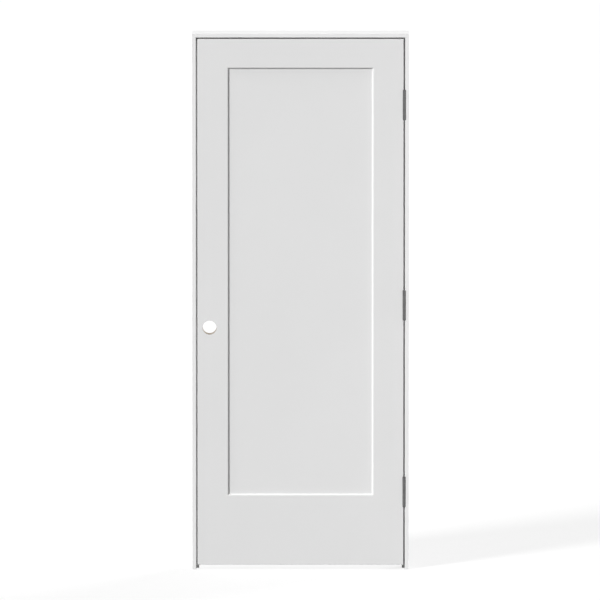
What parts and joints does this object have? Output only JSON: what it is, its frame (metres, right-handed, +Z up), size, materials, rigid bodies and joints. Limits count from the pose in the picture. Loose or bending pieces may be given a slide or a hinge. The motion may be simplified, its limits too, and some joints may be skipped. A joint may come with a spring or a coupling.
{
  "type": "fire door",
  "caption": "Pre-hung fire door: a moulded slab with a recessed flat panel, bored for a lock, swinging on butt hinges in a plain wooden frame with stops.",
  "frame": {"origin": "on the back of the hinge jamb, at floor level and at half the frame's depth", "axes": "+Z up, +X out of the hinge jamb's back and to the right as seen from the side that the door opens towards, -Y towards that side"},
  "size_m": [0.83, 0.135, 2.0708],
  "materials": {
    "primed_skin": "matte white primer on moulded wood-fibre skin",
    "slab_wood": "primed edges, raw softwood in the bores",
    "core_board": "raw particle board",
    "primed_frame": "matte white primer on softwood",
    "hinge_steel": "satin"
  },
  "bodies": {
    "frame": {"hinge_jamb": "primed_frame", "strike_jamb": "primed_frame", "head_jamb": "primed_frame", "hinge_stop": "primed_frame", "strike_stop": "primed_frame", "head_stop": "primed_frame", "top_hinge_jamb_leaf": "hinge_steel", "top_hinge_pin": "hinge_steel", "middle_hinge_jamb_leaf": "hinge_steel", "middle_hinge_pin": "hinge_steel", "bottom_hinge_jamb_leaf": "hinge_steel", "bottom_hinge_pin": "hinge_steel"},
    "door": {"front_skin": "primed_skin", "back_skin": "primed_skin", "lock_stile": "slab_wood", "hinge_stile": "slab_wood", "top_rail": "slab_wood", "bottom_rail": "slab_wood", "core": "core_board", "top_hinge_door_leaf": "hinge_steel", "middle_hinge_door_leaf": "hinge_steel", "bottom_hinge_door_leaf": "hinge_steel"}
  },
  "joints": [
    {"name": "door_swing", "type": "hinge", "parent": "frame", "child": "door", "pos_m": [-0.01725, -0.0707, 0], "axis": [0, 0, 1], "range_deg": [0, 180]}
  ]
}
